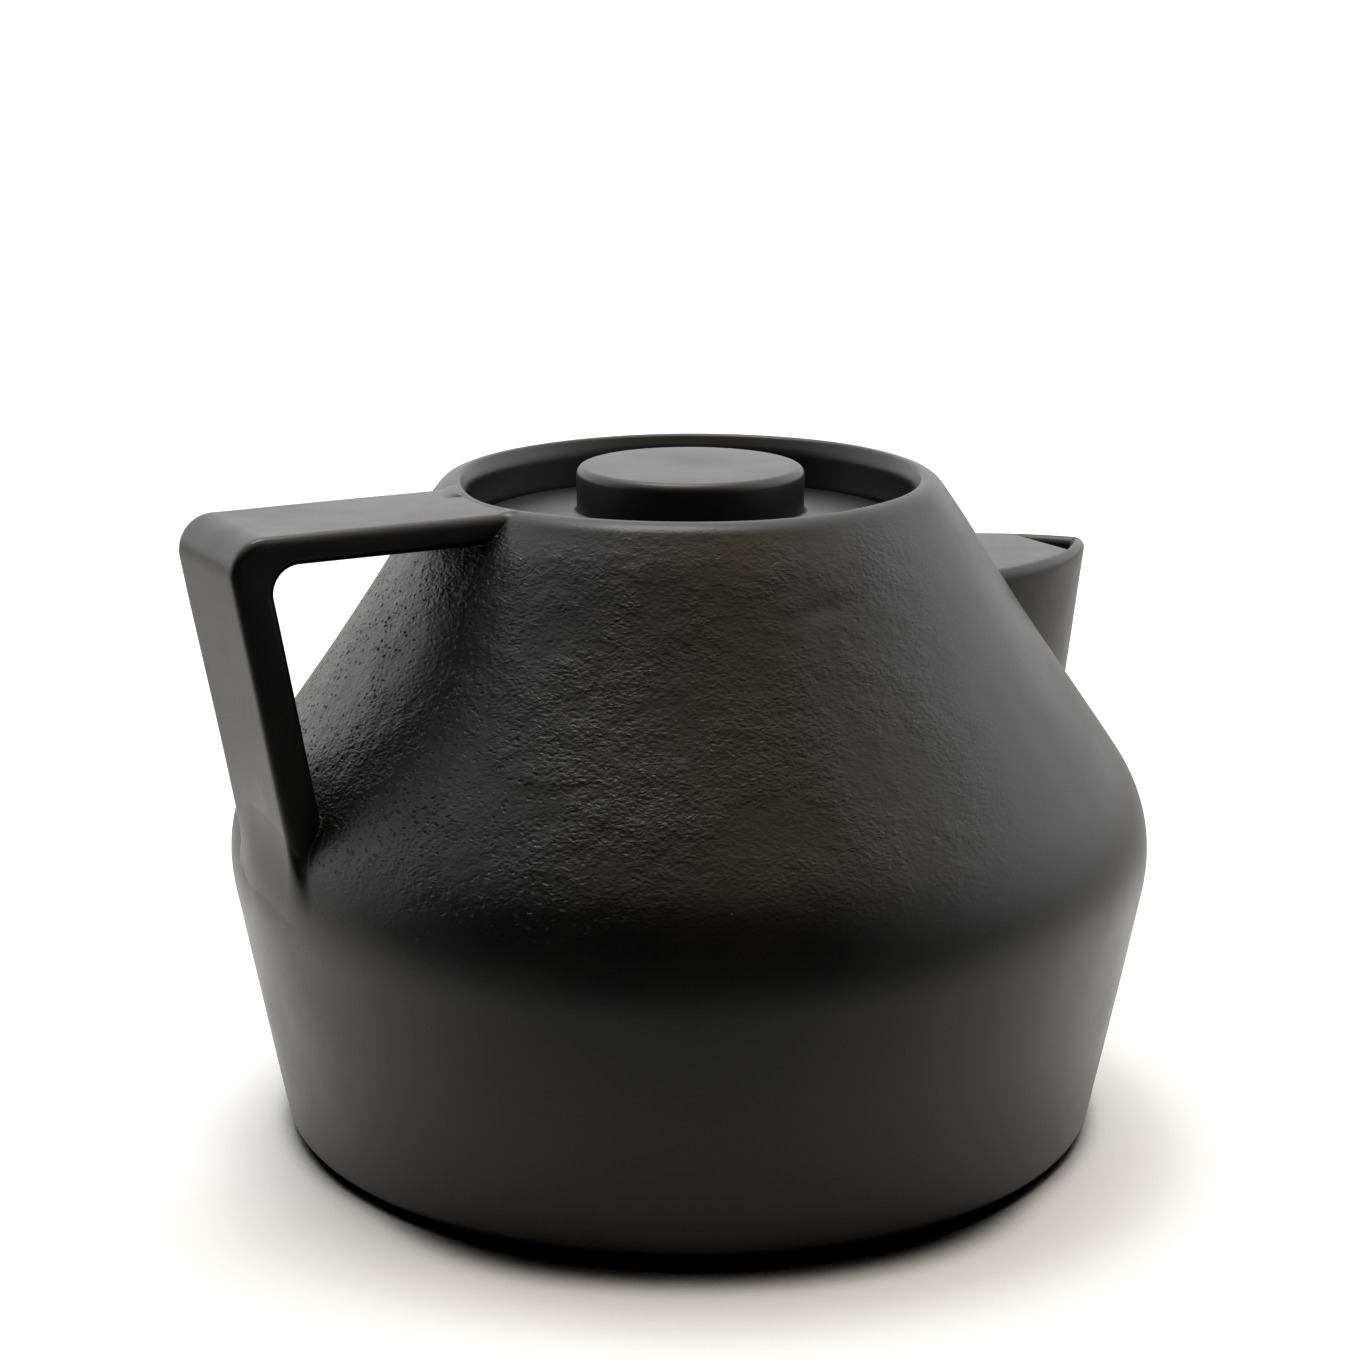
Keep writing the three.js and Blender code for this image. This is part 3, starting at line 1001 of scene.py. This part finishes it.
def makeLeatherSkin(form):
    inputs = {"Vector": None, "Pitch": 1.2, "Stretch": 2.0}
    tree, given, result = newGroup("leatherSkin", inputs, ["Height", "Pits"])
    scale = mathNode(tree, "DIVIDE", 1000.0, given["Pitch"])
    stretch = addNode(tree, "ShaderNodeCombineXYZ", {"X": 1.0, "Y": 1.0, "Z": given["Stretch"]}).outputs[0]
    drawn = vectorNode(tree, "MULTIPLY", given["Vector"], stretch)["Vector"]
    inputs = {"Vector": drawn, "Scale": form["wobbleScale"], "Detail": 1.0}
    wobble = addNode(tree, "ShaderNodeTexNoise", inputs).outputs["Color"]
    bent = vectorNode(tree, "MULTIPLY_ADD", wobble, (form["wobble"],) * 3, drawn)["Vector"]
    inputs = {"Vector": bent, "Scale": scale, "Detail": 2.5, "Roughness": 0.55}
    swell = addNode(tree, "ShaderNodeTexNoise", inputs).outputs["Fac"]
    domeScale = mathNode(tree, "MULTIPLY", scale, form["domeScale"])
    inputs = {"Vector": bent, "Scale": domeScale, "Smoothness": 0.6}
    cells = addNode(tree, "ShaderNodeTexVoronoi", inputs, feature="SMOOTH_F1").outputs["Distance"]
    domes = mathNode(tree, "SUBTRACT", 1.0, cells)
    swell = mathNode(tree, "MULTIPLY", swell, form["swell"])
    height = mathNode(tree, "MULTIPLY_ADD", domes, form["domes"], swell)
    foldScale = mathNode(tree, "MULTIPLY", scale, form["foldScale"])
    inputs = {"Vector": drawn, "Scale": foldScale, "Detail": 1.5}
    folds = addNode(tree, "ShaderNodeTexNoise", inputs).outputs["Fac"]
    tree.links.new(mathNode(tree, "MULTIPLY_ADD", folds, form["folds"], height), result["Height"])
    pitScale = mathNode(tree, "MULTIPLY", scale, form["pitScale"])
    inputs = {"Vector": bent, "Scale": pitScale}
    pit = addNode(tree, "ShaderNodeTexVoronoi", inputs).outputs
    pick = addNode(tree, "ShaderNodeSeparateColor", {"Color": pit["Color"]}).outputs[0]
    hollow = mathNode(tree, "MULTIPLY", rampBetween(tree, pit["Distance"], *form["pitEdge"]), pick)
    tree.links.new(hollow, result["Pits"])
    return tree


# Fine grain of the clay itself
def makeClayGrain():
    tree, given, result = newGroup("clayGrain", {"Vector": None, "Size": 0.35}, ["Height"])
    scale = mathNode(tree, "DIVIDE", 1000.0, given["Size"])
    grain = addNode(tree, "ShaderNodeTexNoise", {"Vector": given["Vector"], "Scale": scale, "Detail": 3.0})
    tree.links.new(grain.outputs["Fac"], result["Height"])
    return tree


# Broad cloudy variation from the kiln
def makeKilnCloud():
    tree, given, result = newGroup("kilnCloud", {"Vector": None, "Size": 24.0}, ["Cloud"])
    scale = mathNode(tree, "DIVIDE", 1000.0, given["Size"])
    inputs = {"Vector": given["Vector"], "Scale": scale, "Detail": 4.0, "Roughness": 0.6}
    cloud = addNode(tree, "ShaderNodeTexNoise", inputs).outputs["Fac"]
    tree.links.new(rampBetween(tree, cloud, 0.3, 0.7), result["Cloud"])
    return tree


# Sparse pale specks of dust and grog
def makePaleSpecks():
    inputs = {"Vector": None, "Spacing": 3.0, "Share": 0.06, "Size": 0.12}
    tree, given, result = newGroup("paleSpecks", inputs, ["Mask"])
    scale = mathNode(tree, "DIVIDE", 1000.0, given["Spacing"])
    cell = addNode(tree, "ShaderNodeTexVoronoi", {"Vector": given["Vector"], "Scale": scale})
    pick = addNode(tree, "ShaderNodeSeparateColor", {"Color": cell.outputs["Color"]}).outputs[0]
    chosen = mathNode(tree, "LESS_THAN", pick, given["Share"])
    radius = mathNode(tree, "DIVIDE", given["Size"], given["Spacing"])
    dot = mathNode(tree, "LESS_THAN", cell.outputs["Distance"], radius)
    tree.links.new(mathNode(tree, "MULTIPLY", chosen, dot), result["Mask"])
    return tree


leatherSkin = makeLeatherSkin(skinForm)
clayGrain = makeClayGrain()
kilnCloud = makeKilnCloud()
paleSpecks = makePaleSpecks()


def mixColour(tree, share, first, second):
    node = addNode(tree, "ShaderNodeMix", {"Factor": share}, data_type="RGBA")
    for socket, value in ((node.inputs[6], first), (node.inputs[7], second)):
        if isinstance(value, bpy.types.NodeSocket):
            tree.links.new(value, socket)
        else:
            socket.default_value = (*value, 1)
    return node.outputs[2]


# How much of the leather shows at each place: most on the cone, less at the shoulder, the rim and the beak
def leatherShare(tree, place, at, look):
    low, high = look["leatherHeights"]
    amount = rampBetween(tree, at["Z"], low * mm, high * mm, look["leatherLeast"], 1.0)
    level = addNode(tree, "ShaderNodeCombineXYZ", {"X": at["X"], "Y": at["Y"]}).outputs[0]
    near, far = look["leatherEnd"]
    ended = rampBetween(tree, lengthNode(tree, level), near * mm, far * mm)
    amount = mathNode(tree, "MULTIPLY", amount, ended)
    patch = useGroup(tree, kilnCloud, Vector=place, Size=look["patchSize"])["Cloud"]
    amount = mathNode(tree, "MULTIPLY", amount, rampBetween(tree, patch, 0.0, 1.0, *look["patchShare"]))
    near, far = look["leatherWiped"]
    wiped = rampBetween(tree, at["X"], near * mm, far * mm, 1.0, look["wipedLeast"])
    return mathNode(tree, "MULTIPLY", amount, wiped)


def addLeather(tree, place, look, colour, roughness, normal):
    at = addNode(tree, "ShaderNodeSeparateXYZ", {"Vector": place}).outputs
    skin = useGroup(tree, leatherSkin, Vector=place, Pitch=look["pitch"], Stretch=look["stretch"])
    amount = leatherShare(tree, place, at, look)
    far, near = look["leatherCoarse"]
    nearHandle = rampBetween(tree, at["X"], far * mm, near * mm)
    coarse = mathNode(tree, "MULTIPLY_ADD", nearHandle, look["coarser"], 1.0)
    far, near = look["pitted"]
    pitted = rampBetween(tree, at["X"], far * mm, near * mm, look["pittedLeast"], 1.0)
    pits = mathNode(tree, "MULTIPLY", skin["Pits"], mathNode(tree, "MULTIPLY", pitted, amount))
    roughness = mathNode(tree, "MULTIPLY_ADD", pits, look["pitRough"], roughness)
    bumps = mathNode(tree, "MULTIPLY", skin["Height"], mathNode(tree, "MULTIPLY", amount, coarse))
    height = mathNode(tree, "MULTIPLY_ADD", pits, -look["pitDepth"], bumps)
    inputs = {"Height": height, "Distance": look["leather"] * mm, "Normal": normal}
    normal = addNode(tree, "ShaderNodeBump", inputs).outputs[0]
    # Painted shade: the colour is darkened in the pits
    colour = mixColour(tree, mathNode(tree, "MULTIPLY", pits, look["pitPaintedShade"]), colour, look["pitShadeColour"])
    return colour, roughness, normal


def clayMaterial(name, look):
    material = bpy.data.materials.new(name)
    material.use_nodes = True
    tree = material.node_tree
    tree.nodes.clear()
    place = addNode(tree, "ShaderNodeTexCoord").outputs["Object"]
    cloud = useGroup(tree, kilnCloud, Vector=place, Size=look["cloudSize"])["Cloud"]
    grain = useGroup(tree, clayGrain, Vector=place, Size=look["grainSize"])["Height"]
    spacing, share = look["speckSpacing"], look["speckShare"]
    specks = useGroup(tree, paleSpecks, Vector=place, Spacing=spacing, Share=share)["Mask"]
    colour = mixColour(tree, cloud, look["dark"], look["light"])
    roughness = rampBetween(tree, cloud, 0.0, 1.0, *look["roughness"])
    inputs = {"Height": grain, "Distance": look["grainDepth"] * mm}
    normal = addNode(tree, "ShaderNodeBump", inputs).outputs[0]
    if look["leather"]:
        colour, roughness, normal = addLeather(tree, place, look, colour, roughness, normal)
    colour = mixColour(tree, specks, colour, look["speckColour"])
    inputs = {"Base Color": colour, "Roughness": roughness, "Normal": normal}
    inputs |= {"IOR": look["ior"], "Specular IOR Level": look["specular"]}
    surface = addNode(tree, "ShaderNodeBsdfPrincipled", inputs)
    output = addNode(tree, "ShaderNodeOutputMaterial")
    tree.links.new(surface.outputs[0], output.inputs["Surface"])
    return material


plainLook = {
    "dark": (0.002, 0.002, 0.0021),
    "light": (0.0036, 0.0036, 0.0037),
    "cloudSize": 24.0,  # mm
    "roughness": (0.31, 0.37),
    "ior": 1.5,
    "specular": 0.5,
    "grainSize": 0.4,  # mm
    "grainDepth": 0.012,
    "speckSpacing": 3.2,
    "speckShare": 0.02,
    "speckColour": (0.16, 0.155, 0.14),
    "leather": 0,
}
leatherLook = plainLook | {
    "light": (0.0044, 0.0041, 0.0036),
    "leather": 0.145,  # mm from hollow to top
    "coarser": 0.6,  # so much more of it beside the handle
    "leatherCoarse": (-20.0, -45.0),  # mm along X, where it grows coarser towards the handle
    "pitch": 0.78,  # mm from bump to bump
    "stretch": 1.7,  # so many times wider than high
    "leatherHeights": (52.0, 73.0),  # mm, where it begins and is full
    "leatherLeast": 0.05,
    "leatherEnd": (40.5, 46.5),  # mm from the axis, where it fades into the smooth rim
    "leatherWiped": (6.0, 26.0),  # mm along X, where it fades towards the beak
    "wipedLeast": 0.12,
    "patchSize": 17.0,
    "patchShare": (0.45, 1.15),  # from its weakest patches to its strongest
    "pitted": (-38.0, -54.0),  # mm along X, where the pits reach their full number towards the handle
    "pittedLeast": 0.12,
    "pitDepth": 1.5,  # as a share of the leather's
    "pitRough": 0.7,  # rougher than the skin by so much
    # Painted shade in the pits: their colour is darkened by this share towards the colour that follows
    "pitPaintedShade": 0.7,
    "pitShadeColour": (0.001, 0.001, 0.001),
    "roughness": (0.34, 0.4),
}
lidLook = plainLook | {
    "dark": (0.0026, 0.0028, 0.003),
    "light": (0.0044, 0.0047, 0.0051),
    "roughness": (0.34, 0.39),
    "specular": 0.58,
}
footLook = plainLook | {"roughness": (0.8, 0.9), "grainDepth": 0.04, "light": (0.03, 0.028, 0.026)}
materials = {
    "leather_black": clayMaterial("leatherBlack", leatherLook),
    "satin_black": clayMaterial("satinBlack", plainLook),
    "lid_black": clayMaterial("lidBlack", lidLook),
    "bare_clay": clayMaterial("bareClay", footLook),
}
for piece, slot in pieces:
    piece.data.materials.append(materials[slot])
print("materials made")

# Studio: a white sweep behind and beside the pot, a soft warm ceiling in front of it, and the dim side of the
# room low behind the camera; to the camera itself the surroundings are plain white
studio = {
    "behind": (0.485, 0.875, 0.0),  # level direction away from the camera
    "sweepWay": (0.6, 0.8, 0.0),  # level direction to the middle of the sweep
    "dimLevel": 0.01,
    "sweepLevel": 1.35,
    "sweepEdge": (-0.68, 0.12),  # share of the way behind, where the sweep begins and is full
    "ceilingShare": 0.36,
    "ceilingEdge": (0.5, 0.8),  # height, where the ceiling begins and is full
    "warmWay": (-0.02, -0.47, 0.88),  # middle of the warm glow on the ceiling
    "warmEdge": (0.82, 0.97),
    "warmTint": (1.0, 0.78, 0.54),
    "paperHalf": 60.0,  # metres from its middle to its side
    # The floor's colour in reflections is painted: lighter near the pot, darker far off and dark in front of
    # it, a painted falloff of light and painted shade; to the camera the floor is evenly pale
    "paper": 1.1,
    "paintedFalloffFar": 0.62,
    "paintedFalloffReach": (0.15, 0.28),  # metres from the pot's axis, over which the floor seen in reflections is painted darker: a painted falloff of light
    "paperSeen": 1.2,
    "paintedFrontShade": 0.06,
    "paintedFrontShadeReach": (0.0, 0.19),  # metres in front of the pot, where the floor seen in reflections is painted dark: painted shade on the camera's side
    # A contact shadow painted into the floor's colour: the floor is darkened where the pot closes the corner
    # in, more in front of the pot than at its sides
    "paintedShadowReach": 0.013,  # metres, the depth of the corner between pot and paper, over which a shadow is painted into the floor's colour
    "paintedShadowEdge": (0.5, 0.93),  # how open that corner is where the painted shadow is full and where it ends
    "paintedShadowEnd": (0.3, 0.6),  # the same at the painted shadow's two ends
    "paintedShadowWay": (0.42, 0.91, 0.0),  # level direction away from the shadow's middle
    "paintedShadowSide": (-0.95, -0.6),  # share of that way, in the shadow's middle and at its ends
}
# Softboxes: place in metres, size in metres, power in watts
softboxes = {
    "sideSoftbox": ((1.05, -0.15, 0.75), 0.8, 0.9),
    "topSoftbox": ((0.0, 0.25, 1.0), 0.44, 3.2),
}


def lightRoom(look):
    world = bpy.data.worlds.new("studioRoom")
    world.use_nodes = True
    bpy.context.scene.world = world
    tree = world.node_tree
    tree.nodes.clear()
    way = addNode(tree, "ShaderNodeTexCoord").outputs["Generated"]
    height = addNode(tree, "ShaderNodeSeparateXYZ", {"Vector": way}).outputs["Z"]
    sweep = rampBetween(tree, dotNode(tree, way, look["sweepWay"]), *look["sweepEdge"])
    overhead = rampBetween(tree, height, *look["ceilingEdge"], 0.0, look["ceilingShare"])
    ceiling = mathNode(tree, "MULTIPLY", overhead, mathNode(tree, "SUBTRACT", 1.0, sweep))
    bright = mathNode(tree, "ADD", sweep, ceiling)
    level = mathNode(tree, "MULTIPLY_ADD", bright, look["sweepLevel"], look["dimLevel"])
    warm = rampBetween(tree, dotNode(tree, way, look["warmWay"]), *look["warmEdge"])
    tint = mixColour(tree, warm, (1, 1, 1), look["warmTint"])
    seen = addNode(tree, "ShaderNodeLightPath").outputs["Is Camera Ray"]
    strength = addNode(tree, "ShaderNodeMix", {"Factor": seen, 2: level, 3: 1.0}).outputs[0]
    colour = mixColour(tree, seen, tint, (1, 1, 1))
    air = addNode(tree, "ShaderNodeBackground", {"Color": colour, "Strength": strength})
    output = addNode(tree, "ShaderNodeOutputWorld")
    tree.links.new(air.outputs[0], output.inputs["Surface"])


def hangSoftbox(name, place, size, power):
    lamp = bpy.data.lights.new(name, "AREA")
    lamp.shape = "SQUARE"
    lamp.size = size
    lamp.energy = power
    softbox = bpy.data.objects.new(name, lamp)
    bpy.context.scene.collection.objects.link(softbox)
    turn = Vector(place).to_track_quat("Z", "Y").to_matrix().to_4x4()
    softbox.matrix_world = Matrix.Translation(place) @ turn


def layFloor(look):
    bm = bmesh.new()
    bmesh.ops.create_grid(bm, x_segments=2, y_segments=2, size=look["paperHalf"])
    floor = meshObject("studioFloor", bm)
    bm.free()
    material = bpy.data.materials.new("floorPaper")
    material.use_nodes = True
    tree = material.node_tree
    tree.nodes.clear()
    place = addNode(tree, "ShaderNodeTexCoord").outputs["Object"]
    distance = lengthNode(tree, place)
    near, far = look["paintedFrontShadeReach"]
    paper = rampBetween(tree, distance, *look["paintedFalloffReach"], look["paper"], look["paintedFalloffFar"])
    # Painted shade seen only in reflections: the floor is painted darker away from the pot and dark in front
    # of it
    plain = rampBetween(tree, dotNode(tree, place, look["behind"]), -far, -near, look["paintedFrontShade"], paper)
    seen = addNode(tree, "ShaderNodeLightPath").outputs["Is Camera Ray"]
    shade = addNode(tree, "ShaderNodeMix", {"Factor": seen, 2: plain, 3: look["paperSeen"]}).outputs[0]
    # Painted contact shadow: the floor's colour is darkened where the pot closes the corner in, most in front
    # of the pot
    openness = addNode(tree, "ShaderNodeAmbientOcclusion", {"Distance": look["paintedShadowReach"]}).outputs["AO"]
    ahead = mathNode(tree, "DIVIDE", dotNode(tree, place, look["paintedShadowWay"]), distance)
    limits = zip(look["paintedShadowEdge"], look["paintedShadowEnd"])
    full, ends = [rampBetween(tree, ahead, *look["paintedShadowSide"], *pair) for pair in limits]
    shade = mathNode(tree, "MULTIPLY", shade, rampBetween(tree, openness, full, ends))
    colour = addNode(tree, "ShaderNodeCombineColor", {0: shade, 1: shade, 2: shade}).outputs[0]
    surface = addNode(tree, "ShaderNodeBsdfDiffuse", {"Color": colour})
    output = addNode(tree, "ShaderNodeOutputMaterial")
    tree.links.new(surface.outputs[0], output.inputs["Surface"])
    floor.data.materials.append(material)


lightRoom(studio)
for name, (place, size, power) in softboxes.items():
    hangSoftbox(name, place, size, power)
layFloor(studio)
print("studio lit")

bpy.context.scene.view_settings.view_transform = "Standard"
